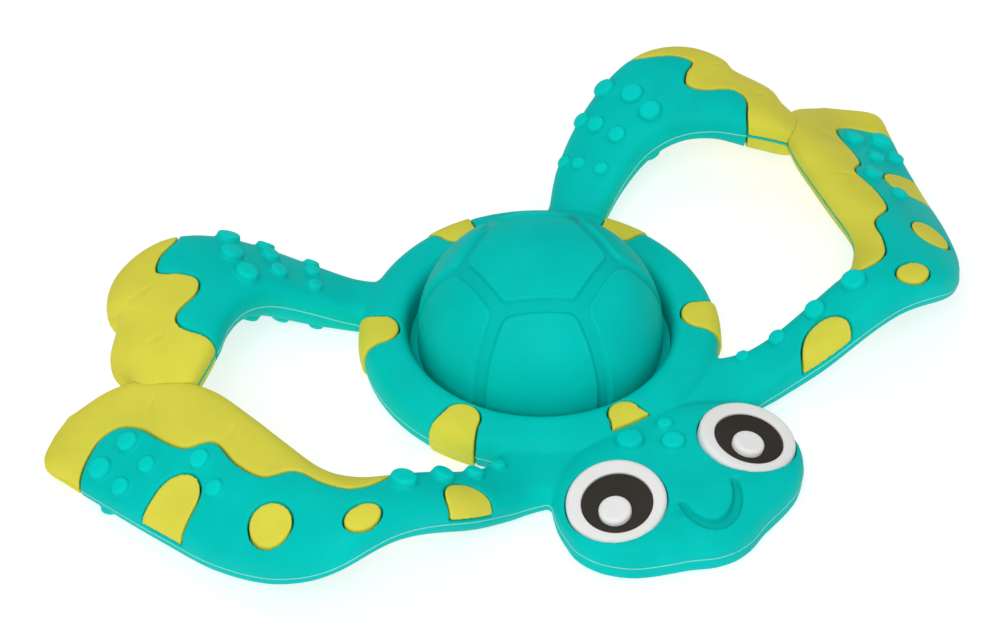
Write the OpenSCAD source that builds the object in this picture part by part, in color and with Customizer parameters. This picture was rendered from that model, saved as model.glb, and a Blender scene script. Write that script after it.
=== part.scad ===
// Sea-turtle silicone teether: a moulded frame with two finger loops and a press dome in its shell.
// Millimetres. The turtle looks along -Y, its left side is +X, and it rests on z = 0.

/* [Shell] */
// Radius of the press dome at its foot
dome_r = 20.5; // [19.5:0.1:21]
// Height of the dome above its skirt
dome_h = 17.6; // [15:0.1:19]
// Wall of the dome
dome_wall = 2.2; // [1.6:0.1:2.6]
// Straight skirt under the dome
skirt_h = 3.2; // [2.4:0.1:4]
// Open moat between the dome and the ring
moat = 1.5; // [1.2:0.1:2]
// Width of the shell ring
ring_w = 8; // [7.6:0.1:8.6]
// Rise of the ring towards its bore
ring_lip = 1; // [0.6:0.1:1.4]
// Thickness of the moulding above its parting surface
body_top = 4.2; // [3.6:0.1:4.6]
// Thickness of the moulding under its parting surface
body_under = 3.3; // [3:0.1:4]
// Distance of a hexagon corner from the dome axis
hex_r = 13.4; // [11:0.1:15]
// Width of the grooves between the dome petals
groove_w = 1.8; // [1.2:0.1:2.4]
// Depth of the grooves
groove_d = 0.7; // [0.4:0.1:1]
// Thickness of the flexible hinge web
hinge_t = 1; // [0.8:0.1:1.2]

/* [Flippers] */
// Distance of the flipper tips from the middle of the toy
flipper_reach = 83.6; // [82:0.2:85]
// Rise of the flipper arch over the ring's middle plane
arch_rise = 11; // [9:0.2:12]
// Distance of the top of the arch from the middle of the toy
arch_x = 50; // [48:0.5:52]
// Half the span of the arch
arch_half = 30.5; // [29.5:0.5:32]
// Roundness of the upper moulded edges, 2 is an ellipse
top_power = 3.4; // [2.4:0.1:4]
// Roundness of the lower moulded edges
under_power = 2.5; // [2.2:0.1:3.2]
// Height of the gum bumps as a share of their radius
bump_share = 0.45; // [0.3:0.05:0.6]

/* [Head] */
// Height of the head above the parting plane
head_top = 5.3; // [4.5:0.1:6]
// Depth of the head below the parting plane
head_under = 3.1; // [2.6:0.1:3.2]
// Diameter of the white of an eye
eye_d = 16; // [14:0.2:16.4]
// Diameter of the iris
iris_d = 11.4; // [10:0.2:12]
// Diameter of the highlight post
post_d = 5.2; // [4:0.2:6]
// Thickness of the eye disc
eye_t = 3.2; // [2.8:0.1:3.6]
// Depth of the iris inlay
iris_t = 1.6; // [1.2:0.1:1.8]
// Radius of the smile
smile_r = 5; // [4:0.1:5.5]
// Width of the smile groove
smile_w = 1.3; // [1:0.1:1.8]
// Depth of the smile groove under the crown of the head
smile_d = 1.7; // [1.4:0.1:2]

/* [Inlays] */
// Teal core left between the top and the underside inlays
core_t = 1; // [0.8:0.1:1.6]
// Teal edge depth that the shell tabs wrap over
tab_wrap = 1.6; // [1.2:0.1:2]
// Distance that the shell tabs stand proud of the ring's edge
tab_proud = 0.4; // [0.2:0.1:0.6]
// Gap between an inlay and the wall of its pocket
seam = 0.06; // [0.04:0.01:0.1]

/* [Hidden] */

$fn = 48;
LEFT = 1;
RIGHT = -1;

teal = "#00C3B5";
yellow = "#DDD744";
white = "#EDEDEC";
black = "#39342F";

mid_z = body_under;
ring_bore_r = dome_r + moat;
ring_r = ring_bore_r + ring_w;
rim_z = mid_z - 0.5;
shoulder_z = rim_z + skirt_h;
slide_gap = 0.4;
ledge_r = dome_r + slide_gap;
ledge_t = 1;
flat_cut = 0.3;
dome_power = 2.2;
far = 60;

// Plan points from here on are measured from the axis of the dome, y towards the tail.
head_y = -42.5;
head_half = [[0, -57.3], [6, -56.7], [10.5, -53.6], [17.5, -50], [21.5, -43.2], [21.2, -38], [19, -33],
             [13, -28.5], [6, -26.8], [0, -26.5]];
eye_place = [12.7, -41.3];
eye_z = mid_z + 4.7;
eye_tilt = [5, 10];
iris_shift = [0.45, -0.45];
post_shift = [-0.65, -1.55];
smile_y = -49;

// A flipper from root to tip: its edge towards the tail, its edge towards the head, then its shares of
// the thickness above and under the parting surface and the roundness of its upper tail edge.
front = [
    [[0, -25.5], [9, -24.2], [17.5, -20], [26, -23.6], [35, -24.8], [44.3, -24], [48.4, -21.3],
     [51.2, -17], [53, -9], [54.6, -1.5], [57.2, 8], [62.3, 17.3], [68.6, 22.6], [75.5, 23.9]],
    [[0, -40], [10, -38.2], [19.5, -33.2], [27, -33], [36, -34.6], [47, -35.2], [58, -34.8],
     [65.4, -29.2], [71.2, -19], [75.3, -7.5], [79.3, 4], [82, 11.2], [83.6, 16.9], [80, 21.2]],
    [1, 1, 1, 1, 1, 1, 1, 1, 1, 0.95, 0.85, 0.68, 0.48, 0.25],
    [1, 1, 1, 1, 1, 1, 1, 1.15, 1.35, 1.3, 1.2, 1, 0.8, 0.4],
    [3, 3, 3, 3, 3, 2.4, 1.9, 1.8, 1.8, 2.2, 3, 3.2, 3.2, 3.2]];
rear = [
    [[12.5, 22], [18.5, 26.5], [24.5, 33.4], [31.5, 38.4], [40, 41.5], [49, 42.5], [58, 40.6],
     [62, 36.6], [61.8, 32.6], [66.2, 27.2], [65.4, 21.8], [66.5, 17.5]],
    [[20, 15.5], [26.5, 19.6], [31.5, 22.4], [36.5, 23.8], [40.5, 23.4], [44.5, 21.7], [48.5, 18.8],
     [51, 16.3], [53, 14.7], [55, 13.2], [57.3, 11.8], [59.5, 10.5]],
    [0.8, 0.8, 0.9, 1, 1, 1, 1, 1, 0.95, 0.9, 0.8, 0.6],
    [0.9, 1, 1.3, 1.35, 1.2, 1.2, 1.4, 1.55, 1.6, 1.5, 1.3, 0.9],
    [3, 3, 3, 3, 3, 3, 3, 3, 3, 3, 3, 3]];
tab_inner_r = 23.4;
tab_w = 9;
tab_end_r = 3.4;
fore_angle = 61;
aft_angle = 117;
neck_tab = [22.6, 27.8, 7.8];
eye_edge = 0.8;
iris_drop = 0.2;
rib_step = 0.6;
rib_points = 12;
bump_root = 0.6;
bump_top = 0.55;

// Wavy borders of the yellow parts.
band_wave = [[40.5, -22], [43.5, -26], [48, -27.3], [51.5, -26], [54, -22], [55.8, -17.6], [60.3, -15.2],
             [62.2, -9.6], [62.7, -3.2], [66.3, 0], [68, 4.2], [69.3, 9.5], [71.5, 13.2], [74.6, 13.9],
             [77.6, 12.2], [80.4, 9.6], [84, 5.4], [88, 1]];
band_far = [[95, 2], [95, 40], [60, 40], [40, 0]];
cuff_wave = [[44, 45], [46.4, 40], [51.2, 36.7], [53.2, 33.7], [50.2, 31.2], [48.5, 28.4], [50.4, 25.4],
             [55.2, 23.2], [55.6, 20.2], [53.1, 16.4], [51.3, 12.5], [49, 7]];
cuff_far = [[75, 0], [75, 46]];
wave_steps = 3;
core_from = 10;
core_to = 95;
core_step = 5;
neck_spot = [34.3, -29.7];
neck_size = [4.5, 14, 9.2];
round_spot = [52.3, -32.1];
round_size = [3.3, 2.4];
long_spot = [63.4, -23];
long_size = [3.3, 4.1];
tip_spot = [67.6, -4.8];
tip_size = [4.3, 16, 9.6];

// Places on a flipper as station, share of the half width and radius.
front_bumps = [[4.75, -0.25, 2.1], [4.05, -0.35, 1.8], [3.35, -0.45, 1.5], [2.7, -0.5, 1.2],
               [8.5, 0.3, 1.5], [9.05, 0.05, 1.7], [9.75, 0.4, 1.5], [9.85, 0.8, 1.5], [10.4, 0.2, 1.8],
               [10.45, 0.7, 1.9]];
rear_bumps = [[3.75, -0.7, 2], [4, -0.05, 2], [4, 0.55, 2], [3, -0.75, 1.6], [2.95, -0.3, 1.6],
              [2.85, 0.35, 1.6], [2.05, -0.75, 1.3], [2, -0.3, 1.3], [1.9, 0.4, 1.3]];

// Gum bumps behind the eyes as plan place and radius.
head_bumps = [[-3.6, -32.4, 2.2], [3.4, -32, 1.3], [2, -36.4, 1.9]];

body_y = (-head_half[0].y - rear[0][5].y) / 2;
root_x = 30;
drawn_reach = 83.6;

// Curve through a list of numbers or points, s counts along the list.
function along(p, s) =
    let(i = min(floor(s), len(p) - 2), t = s - i,
        a = p[max(i - 1, 0)], b = p[i], c = p[i + 1], d = p[min(i + 2, len(p) - 1)])
    b + t / 2 * (c - a + t * (2 * a - 5 * b + 4 * c - d + t * (3 * b - 3 * c + d - a)));

function curve(p, steps) = [for (k = [0 : (len(p) - 1) * steps]) along(p, k / steps)];

// Height of the arched parting surface over the flat one.
function lift(x) = arch_rise / 2 * (1 + cos(180 * min(1, max(-1, (x - arch_x) / arch_half))));
function lift_slope(x) = (lift(x + 0.1) - lift(x - 0.1)) / 0.2;
function power_of(a, tail = top_power) = sin(a) < 0 ? under_power : cos(a) < 0 ? tail : top_power;
function round_cos(a, p) = sign(cos(a)) * pow(abs(cos(a)), 2 / p);
function round_sin(a, p) = sign(sin(a)) * pow(abs(sin(a)), 2 / p);
function bulge(u, p) = pow(1 - pow(min(1, abs(u)), p), 1 / p);

// Plan points outside the ring move out with the reach of the flippers.
function reached(p) =
    [p.x < root_x ? p.x : root_x + (p.x - root_x) * (flipper_reach - root_x) / (drawn_reach - root_x), p.y];
function across(f, s, u) = reached((along(f[0], s) * (1 - u) + along(f[1], s) * (1 + u)) / 2);
function height(f, s, x, v) =
    v * (v < 0 ? body_under * along(f[3], s) : body_top * along(f[2], s)) * sqrt(1 + pow(lift_slope(x), 2));
function skin(f, s, u, v) =
    let(p = across(f, s, u))
    [p.x, p.y, mid_z + lift(p.x) + height(f, s, p.x, v)];
function rib(f, s) =
    [for (k = [0 : rib_points - 1])
        let(a = 360 * k / rib_points, p = power_of(a, along(f[4], s)))
        skin(f, s, round_cos(a, p), round_sin(a, p))];

// Loft through the ribs of a flipper between two stations.
module flipper(f, from, to) {
    n = rib_points;
    ribs = ceil((to - from) / rib_step);
    skins = [for (k = [0 : ribs]) rib(f, from + (to - from) * k / ribs)];
    sides = [for (j = [0 : ribs - 1]) for (k = [0 : n - 1])
        let(a = j * n + k, b = j * n + (k + 1) % n)
        each [[a, b, a + n], [b, b + n, a + n]]];
    caps = [[for (k = [n - 1 : -1 : 0]) k], [for (k = [0 : n - 1]) ribs * n + k]];
    polyhedron([for (r = skins) each r], concat(sides, caps));
}

module whole_flipper(f) {
    flipper(f, 0, len(f[0]) - 1);
}

module at_body() {
    translate([0, body_y, 0]) children();
}

module on_side(side) {
    mirror([side == LEFT ? 0 : 1, 0, 0]) children();
}

module both_sides() {
    on_side(LEFT) children();
    on_side(RIGHT) children();
}

// Ring with a flat underside, grown outwards by what the tabs stand proud.
function ring_profile(proud) =
    let(c = ring_bore_r + ring_w / 2)
    [for (a = [11.25 : 22.5 : 348.75])
        let(reach = cos(a) > 0 ? proud : 0, p = power_of(a), rise = ring_lip * (1 - round_cos(a, p)) / 2,
            depth = sin(a) < 0 ? body_under + flat_cut : body_top + rise)
        [c + (ring_w / 2 + reach) * round_cos(a, p), max(0, mid_z + depth * round_sin(a, p))]];

module ring(proud = 0) {
    rotate_extrude()
        polygon(ring_profile(proud));
}

// Ledge in the bore that carries the hinge web.
module ledge() {
    translate([0, 0, rim_z - hinge_t - ledge_t])
        difference() {
            cylinder(r = ring_bore_r + ring_w / 4, h = ledge_t);
            translate([0, 0, -1])
                cylinder(r = ledge_r, h = ledge_t + 2);
        }
}

// Head: the plan outline shrunk towards its middle over a rounded height.
function head_outline() =
    let(h = curve(head_half, 2), n = len(h) - 1)
    concat(h, [for (k = [n - 1 : -1 : 1]) [-h[k].x, h[k].y]]);

function head_loop(outline, a) =
    let(shrink = round_cos(a, power_of(a)), rise = round_sin(a, power_of(a)))
    [for (p = outline) [p.x * shrink, head_y + (p.y - head_y) * shrink,
                        mid_z + (a > 0 ? head_top : head_under) * rise]];

function head_skin(p) =
    let(u = norm([p.x, p.y - head_y]) / (head_half[len(head_half) - 1].y - head_y))
    [p.x, p.y, mid_z + head_top * bulge(u, top_power)];

module head() {
    outline = head_outline();
    n = len(outline);
    angles = [-75, -40, -15, 0, 15, 35, 58, 80];
    loops = [for (a = angles) head_loop(outline, a)];
    polyhedron([for (l = loops) for (p = l) p],
               concat([[for (k = [0 : n - 1]) k]],
                      [for (j = [0 : len(angles) - 2]) for (k = [0 : n - 1])
                          [j * n + (k + 1) % n, j * n + k, (j + 1) * n + k, (j + 1) * n + (k + 1) % n]],
                      [[for (k = [n - 1 : -1 : 0]) (len(angles) - 1) * n + k]]));
}

module bump(place, r) {
    translate(place)
        hull() {
            translate([0, 0, -bump_root * r])
                cylinder(r = r, h = bump_root * r, $fn = 7);
            cylinder(r = bump_top * r, h = bump_share * r, $fn = 7);
        }
}

module bumps_on(f, list) {
    for (b = list)
        bump(skin(f, b[0], b[1], bulge(b[1], b[1] < 0 ? along(f[4], b[0]) : top_power)), b[2]);
}

module bumps_on_head() {
    for (b = head_bumps)
        bump(head_skin(b), b[2]);
}

// Space above or under the teal core of the arched flippers.
module off_core(face) {
    steps = [for (x = [core_from : core_step : core_to]) [x, mid_z + lift(x) + face * core_t / 2]];
    rotate([90, 0, 0])
        linear_extrude(2 * far, center = true)
            polygon(concat(steps, [[core_to, face * far], [core_from, face * far]]));
}

// Plan areas of the inlays.
module band_area() {
    polygon([for (q = concat(curve(band_wave, wave_steps), band_far)) reached(q)]);
}

module cuff_area() {
    polygon([for (q = concat(curve(cuff_wave, wave_steps), cuff_far)) reached(q)]);
}

module tongue(end_r, length, width) {
    hull() {
        translate([end_r, 0]) circle(end_r, $fn = 24);
        translate([length, -width / 2]) square([0.1, width]);
    }
}

module spot_neck_area() {
    translate(reached(neck_spot)) rotate(-92) tongue(neck_size[0], neck_size[1], neck_size[2]);
}

module spot_round_area() {
    translate(reached(round_spot)) scale(round_size) circle(1, $fn = 24);
}

module spot_long_area() {
    translate(reached(long_spot)) rotate(-10) scale(long_size) circle(1, $fn = 24);
}

module spot_tip_area() {
    translate(reached(tip_spot)) rotate(-22) tongue(tip_size[0], tip_size[1], tip_size[2]);
}

module prism(gap) {
    translate([0, 0, -far / 2])
        linear_extrude(2 * far)
            offset(delta = -gap) children();
}

// A yellow inlay on one face of a flipper.
module fin_inlay(f, from, to, face) {
    intersection() {
        flipper(f, from, to);
        off_core(face);
        prism(seam) children();
    }
}

module fin_pocket(face) {
    intersection() {
        off_core(face);
        prism(0) children();
    }
}

// Yellow tabs that wrap over the ring, placed by their angle from the neck.
module tab_area(angle, inner_r, outer_r, width) {
    intersection() {
        rotate(angle - 90)
            translate([inner_r, 0])
                tongue(tab_end_r, outer_r, width);
        circle(outer_r);
    }
}

module tab_core() {
    translate([0, 0, mid_z - core_t / 2])
        cylinder(r = ring_r - tab_wrap, h = core_t);
}

module edge_tab_area(angle) {
    tab_area(angle, tab_inner_r, ring_r + 2 * tab_proud, tab_w);
}

module neck_tab_area() {
    tab_area(0, neck_tab[0], neck_tab[1], neck_tab[2]);
}

module above_core() {
    translate([-far, -far, mid_z + core_t / 2])
        cube([2 * far, 2 * far, far]);
}

module edge_tab(angle) {
    color(yellow)
        at_body()
            difference() {
                intersection() {
                    ring(tab_proud);
                    prism(seam) edge_tab_area(angle);
                }
                tab_core();
            }
}

module tab_neck() {
    color(yellow)
        at_body()
            intersection() {
                ring();
                prism(seam) neck_tab_area();
                above_core();
            }
}

module tab_tail() {
    edge_tab(180);
}

module tab_fore(side) {
    edge_tab(side * fore_angle);
}

module tab_aft(side) {
    edge_tab(side * aft_angle);
}

module tab_pockets() {
    for (angle = [180, fore_angle, -fore_angle, aft_angle, -aft_angle])
        difference() {
            prism(0) edge_tab_area(angle);
            tab_core();
        }
    intersection() {
        prism(0) neck_tab_area();
        above_core();
    }
}

// Front fin bands, rear cuffs and spots.
module fin_band(side, face) {
    color(yellow)
        at_body()
            on_side(side)
                fin_inlay(front, 4, len(front[0]) - 1, face) band_area();
}

module cuff(side, face) {
    color(yellow)
        at_body()
            on_side(side)
                difference() {
                    fin_inlay(rear, 4, len(rear[0]) - 1, face) cuff_area();
                    flipper(front, 8.5, 12.5);
                }
}

module spot(side, from, to) {
    color(yellow)
        at_body()
            on_side(side)
                fin_inlay(front, from, to, 1) children();
}

// Eyes: a white disc with a highlight post through the black iris ring.
module at_eye(side) {
    at_body()
        translate([side * eye_place.x, eye_place.y, eye_z])
            rotate([eye_tilt.x, side * eye_tilt.y, 0])
                children();
}

function eye_rim() =
    [for (a = [0 : 15 : 90])
        [eye_d / 2 - eye_edge * (1 - cos(a)), eye_t - eye_edge * (1 - sin(a))]];

module eye_white(side) {
    color(white)
        at_eye(side)
            difference() {
                translate([0, 0, -eye_t])
                    rotate_extrude()
                        polygon(concat([[0, 0], [eye_d / 2, 0]], eye_rim(), [[0, eye_t]]));
                difference() {
                    translate([iris_shift.x, iris_shift.y, -iris_t])
                        cylinder(d = iris_d, h = 2 * iris_t);
                    translate([post_shift.x, post_shift.y, -2 * iris_t])
                        cylinder(d = post_d, h = 4 * iris_t);
                }
            }
}

module eye_iris(side) {
    color(black)
        at_eye(side)
            difference() {
                translate([iris_shift.x, iris_shift.y, -iris_t])
                    cylinder(d = iris_d - 2 * seam, h = iris_t - iris_drop);
                translate([post_shift.x, post_shift.y, -2 * iris_t])
                    cylinder(d = post_d + 2 * seam, h = 4 * iris_t);
            }
}

module eye_pocket(side) {
    translate([side * eye_place.x, eye_place.y, eye_z])
        rotate([eye_tilt.x, side * eye_tilt.y, 0])
            translate([0, 0, -eye_t])
                cylinder(d = eye_d + 2 * seam, h = far);
}

module smile() {
    translate([0, smile_y, mid_z + head_top - smile_d])
        linear_extrude(far)
            difference() {
                circle(smile_r, $fn = 30);
                circle(smile_r - smile_w, $fn = 30);
                translate([-far, 0]) square(2 * far);
            }
}

// Press dome: six petals round a hexagon.
function dome_arc(r, h) =
    [for (a = [0 : 7.5 : 90]) [r * round_cos(a, dome_power), shoulder_z + h * round_sin(a, dome_power)]];

module dome_skin(r, h, under) {
    rotate_extrude()
        polygon(concat([[0, rim_z - under], [r, rim_z - under]], dome_arc(r, h)));
}

module petal_grooves() {
    difference() {
        circle(hex_r + groove_w / 2, $fn = 6);
        circle(hex_r - groove_w / 2, $fn = 6);
    }
    for (k = [0 : 5])
        rotate(60 * k)
            translate([hex_r, -groove_w / 2])
                square([dome_r, groove_w]);
}

module pop_dome() {
    color(teal)
        at_body()
            difference() {
                dome_skin(dome_r, dome_h, 0);
                dome_skin(dome_r - dome_wall, dome_h - dome_wall, 1);
                difference() {
                    translate([0, 0, shoulder_z - skirt_h / 2])
                        linear_extrude(far)
                            rotate(30)
                                petal_grooves();
                    dome_skin(dome_r - groove_d, dome_h - groove_d, 1);
                }
            }
}

module hinge_web() {
    color(teal)
        at_body()
            translate([0, 0, rim_z - hinge_t])
                difference() {
                    cylinder(r = ring_bore_r - seam, h = hinge_t);
                    translate([0, 0, -1])
                        cylinder(r = dome_r - dome_wall, h = hinge_t + 2);
                }
}

// Teal frame with the pockets of its inlays.
module front_teal() {
    difference() {
        union() {
            whole_flipper(front);
            bumps_on(front, front_bumps);
        }
        fin_pocket(1) band_area();
        fin_pocket(-1) band_area();
        fin_pocket(1) spot_neck_area();
        fin_pocket(1) spot_round_area();
        fin_pocket(1) spot_long_area();
        fin_pocket(1) spot_tip_area();
    }
}

module rear_teal() {
    difference() {
        union() {
            whole_flipper(rear);
            bumps_on(rear, rear_bumps);
        }
        fin_pocket(1) cuff_area();
        fin_pocket(-1) cuff_area();
    }
}

module frame() {
    color(teal)
        at_body()
            difference() {
                union() {
                    ring();
                    ledge();
                    head();
                    bumps_on_head();
                    both_sides() {
                        front_teal();
                        rear_teal();
                    }
                }
                tab_pockets();
                eye_pocket(LEFT);
                eye_pocket(RIGHT);
                smile();
            }
}

frame();
pop_dome();
hinge_web();
eye_white(LEFT);  // eye_white_left
eye_white(RIGHT);  // eye_white_right
eye_iris(LEFT);  // eye_iris_left
eye_iris(RIGHT);  // eye_iris_right
tab_neck();
tab_tail();
tab_fore(LEFT);  // tab_fore_left
tab_fore(RIGHT);  // tab_fore_right
tab_aft(LEFT);  // tab_aft_left
tab_aft(RIGHT);  // tab_aft_right
fin_band(LEFT, 1);  // fin_band_top_left
fin_band(RIGHT, 1);  // fin_band_top_right
fin_band(LEFT, -1);  // fin_band_under_left
fin_band(RIGHT, -1);  // fin_band_under_right
cuff(LEFT, 1);  // cuff_top_left
cuff(RIGHT, 1);  // cuff_top_right
cuff(LEFT, -1);  // cuff_under_left
cuff(RIGHT, -1);  // cuff_under_right
spot(LEFT, 3, 5.5) spot_neck_area();  // spot_neck_left
spot(RIGHT, 3, 5.5) spot_neck_area();  // spot_neck_right
spot(LEFT, 4.5, 7) spot_round_area();  // spot_round_left
spot(RIGHT, 4.5, 7) spot_round_area();  // spot_round_right
spot(LEFT, 6, 8.5) spot_long_area();  // spot_long_left
spot(RIGHT, 6, 8.5) spot_long_area();  // spot_long_right
spot(LEFT, 8, 11) spot_tip_area();  // spot_tip_left
spot(RIGHT, 8, 11) spot_tip_area();  // spot_tip_right
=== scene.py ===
"""Looks of a two-colour silicone teether shaped as a sea turtle, built round its CAD frame."""

import math

import bmesh
import bpy
from mathutils import Matrix, Vector
from mathutils.bvhtree import BVHTree
from mathutils.kdtree import KDTree


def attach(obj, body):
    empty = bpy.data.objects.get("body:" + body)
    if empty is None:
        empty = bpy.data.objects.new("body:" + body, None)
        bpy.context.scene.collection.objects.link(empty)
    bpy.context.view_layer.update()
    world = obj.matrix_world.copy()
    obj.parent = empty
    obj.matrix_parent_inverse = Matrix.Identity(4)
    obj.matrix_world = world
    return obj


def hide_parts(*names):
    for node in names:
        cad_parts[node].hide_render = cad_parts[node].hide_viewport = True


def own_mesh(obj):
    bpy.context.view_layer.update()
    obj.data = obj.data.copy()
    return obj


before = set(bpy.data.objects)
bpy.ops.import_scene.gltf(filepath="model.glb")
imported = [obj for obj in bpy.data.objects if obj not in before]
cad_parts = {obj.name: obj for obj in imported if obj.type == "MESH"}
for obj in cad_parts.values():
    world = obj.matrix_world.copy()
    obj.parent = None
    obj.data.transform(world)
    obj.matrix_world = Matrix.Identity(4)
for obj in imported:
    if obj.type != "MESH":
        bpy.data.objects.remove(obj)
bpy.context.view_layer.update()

bl_info = {
    "name": "Sea-turtle silicone teether",
    "version": (1, 0, 0),
    "blender": (4, 5, 0),
    "location": "View3D > Sidebar > Teether",
    "description": "Models the moulded silicone parts of a teether and lights them",
    "category": "Object",
}

MM = 0.001
LEFT, RIGHT = 1, -1
ABOVE, UNDER = 1, -1
MIRROR = Matrix.Diagonal((-1, 1, 1, 1))

# Plan points are millimetres from the axis of the dome, y towards the tail.
BODY_Y = 7.4
MID_Z = 3.3
FAR = 60

# Arch of the parting surface: plan distance of its crest, how far its feet are from there, and the
# distances between which cutting tools follow it.
ARCH_CREST = 50
ARCH_REACH = 30.5
ARCH_SPAN = (10, 95)

# Powers of the rounded sections: 2 gives an ellipse, and a high one nearly a box.
TOP_POWER = 3.4
UNDER_POWER = 2.5
HEAD_UNDER_POWER = 10
DOME_POWER = 2.2

# A flipper from root to tip: its edge towards the tail, its edge towards the head, its shares of
# the thickness above and under the parting surface, and the roundness of its upper tail edge.
FRONT = {
    "tail": [(0, -25.5), (9, -24.2), (17.5, -20), (26, -23.6), (35, -24.8), (44.3, -24),
             (48.4, -21.3), (51.2, -17), (53, -9), (54.6, -1.5), (57.2, 8), (62.3, 17.3),
             (68.6, 22.6), (75.5, 23.9)],
    "head": [(0, -40), (10, -38.2), (19.5, -33.2), (27, -33), (36, -34.6), (47, -35.2),
             (58, -34.8), (65.4, -29.2), (71.2, -19), (75.3, -7.5), (79.3, 4), (82, 11.2),
             (83.6, 16.9), (80, 21.2)],
    "top": [0.7, 0.7, 0.74, 0.9, 1, 1, 1, 1, 1, 0.95, 0.85, 0.68, 0.48, 0.25],
    "under": [1, 1, 1, 1, 1, 1, 1, 1.15, 1.35, 1.3, 1.2, 1, 0.8, 0.4],
    "soft": [3, 3, 3, 3, 3, 2.4, 1.9, 1.8, 1.8, 2.2, 3, 3.2, 3.2, 3.2],
}
REAR = {
    "tail": [(12.5, 22), (18.5, 26.5), (24.5, 33.4), (31.5, 38.4), (40, 41.5), (49, 42.5),
             (58, 40.6), (62, 36.6), (61.8, 32.6), (66.2, 27.2), (65.4, 21.8), (66.5, 17.5)],
    "head": [(20, 15.5), (26.5, 19.6), (31.5, 22.4), (36.5, 23.8), (40.5, 23.4), (44.5, 21.7),
             (48.5, 18.8), (51, 16.3), (53, 14.7), (55, 13.2), (57.3, 11.8), (59.5, 10.5)],
    "top": [0.8, 0.8, 0.9, 1, 1, 1, 1, 1, 0.95, 0.9, 0.8, 0.6],
    "under": [0.9, 1, 1.3, 1.35, 1.2, 1.2, 1.4, 1.55, 1.6, 1.5, 1.3, 0.9],
    "soft": [3, 3, 3, 3, 3, 3, 3, 3, 3, 3, 3, 3],
}

# Depth that is cut off the ring's section to give the flat that it rests on.
RING_FLAT = 0.3

# Ledge in the ring's bore: gap to the dome, how far it is sunk in the ring, and its two heights.
LEDGE_GAP = 0.4
LEDGE_SUNK = 2
LEDGE_HEIGHTS = (0.8, 1.8)

# Roots of the flippers that are welded to the ring: the last station of each, the radii where the
# smoothing of the weld starts and ends, the widths over which it fades, and its rounds. At the neck
# only a share of it is left, so that the head keeps its shape.
FRONT_ROOT = 4.2
REAR_ROOT = 3
WELD_RADII = (27, 44)
WELD_FADES = (2, 6)
WELD_ROUNDS = 24
NECK_Y = -24
NECK_HALF = 25
NECK_SHARE = 0.15

# Left half of the head's outline and the middle that it shrinks towards.
HEAD_Y = -42.5
HEAD_HALF = [(0, -57.4), (3.4, -56.8), (7, -55.2), (10, -54.2), (13.3, -53), (16.3, -51.4),
             (19.5, -48.2), (21.2, -44.3), (21.1, -40.6), (20.3, -36.6), (18, -32),
             (13, -28.5), (6, -26.8), (0, -26.5)]

# Eyes: place of the left one, small shifts of each, tilt about X and Y in degrees, depth and round
# edge of the white, and its gap to the pocket.
EYE_PLACE = (12.7, -41.3, 8)
EYE_SHIFTS = {LEFT: (0.8, 0.3), RIGHT: (0.35, -0.35)}
EYE_TILT = (5, 10)
EYE_DEPTH = 3.2
EYE_ROUND = 0.8
EYE_GAP = 0.2

# Iris and highlight post, both off the middle of the white: the recess and its flared edge, and the
# shift, foot, top, round edge and gap of each.
IRIS_SHIFT = (-0.13, -0.45)
RECESS_DEPTH = 1.6
RECESS_FLARE = 0.25
IRIS_FOOT = -1.55
IRIS_TOP = -0.2
IRIS_ROUND = 0.2
IRIS_GAP = 0.1
POST_SHIFT = (-1.35, -1.75)
POST_FOOT = -2.4
POST_TOP = 1
POST_ROUND = 0.7
POST_GAP = 0.06

# Dome: depth of its foot under the parting plane.
DOME_SUNK = 0.5

# Grooves of the dome: middle of their hexagon, power mean that rounds its corners, blend where two
# grooves meet, spill and width of their soft edges, height above which the skin is pressed, the low
# rim beside them, and the share of painted shade in them.
HEXAGON_SHIFT = (-0.55, 0.35)
CORNER_POWER = 26
GROOVE_BLEND = 1.2
GROOVE_SPILL = 0.18
GROOVE_EDGE = 0.42
GROOVE_LOWEST = MID_Z + 0.4
RIM_RISE = 0.07
RIM_PLACE = 0.45
RIM_WIDTH = 0.32
GROOVE_SHADE = 0.3

# Engraved smile: its middle line, depth, the width of its sloping walls, and the height above which
# the skin is pressed.
SMILE_LINE = [(-4.25, -48.3), (-4.25, -50.2), (-3.7, -52), (-2.6, -53.4), (-1.1, -54.1),
              (0.6, -54), (2.4, -53.1), (4, -51.5), (5.1, -49.8), (5.6, -48.3)]
SMILE_DEPTH = 1.1
SMILE_WALL = 0.4
SMILE_LOWEST = MID_Z + 1.5

# Wavy borders of the yellow parts, and points far outside that close their areas.
BAND_AREA = [(40.5, -22), (43.5, -26), (48, -27.3), (51.5, -26), (54, -22), (55.8, -17.6),
             (60.3, -15.2), (62.2, -9.6), (62.7, -3.2), (66.3, 0), (68, 4.2), (69.3, 9.5),
             (71.5, 13.2), (74.6, 13.9), (77.6, 12.2), (80.4, 9.6), (84, 5.4), (88, 1)]
BAND_FAR = [(95, 2), (95, 40), (60, 40), (40, 0)]
CUFF_AREA = [(44, 45), (46.4, 40), (51.2, 36.7), (53.2, 33.7), (50.2, 31.2), (48.5, 28.4),
             (50.4, 25.4), (55.2, 23.2), (55.6, 20.2), (53.1, 16.4), (51.3, 12.5), (49, 7)]
CUFF_FAR = [(75, 0), (75, 46)]

# Teal cores: half thickness under spots and tabs, station where the sheets in the flippers start,
# the shares of the half width that the sheets of the bands and the cuffs reach, their gap to the
# inlays, their lap into the moulding, and the distance in metres at which their points merge.
CORE_HALF = 0.5
CORE_START = 4
BAND_SHARES = (-1.1, 0.9)
CUFF_SHARES = (-0.86, 1.1)
SHEET_GAP = 0.02
SHEET_LAP = 0.3
SHEET_MERGE = 5e-6

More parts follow.
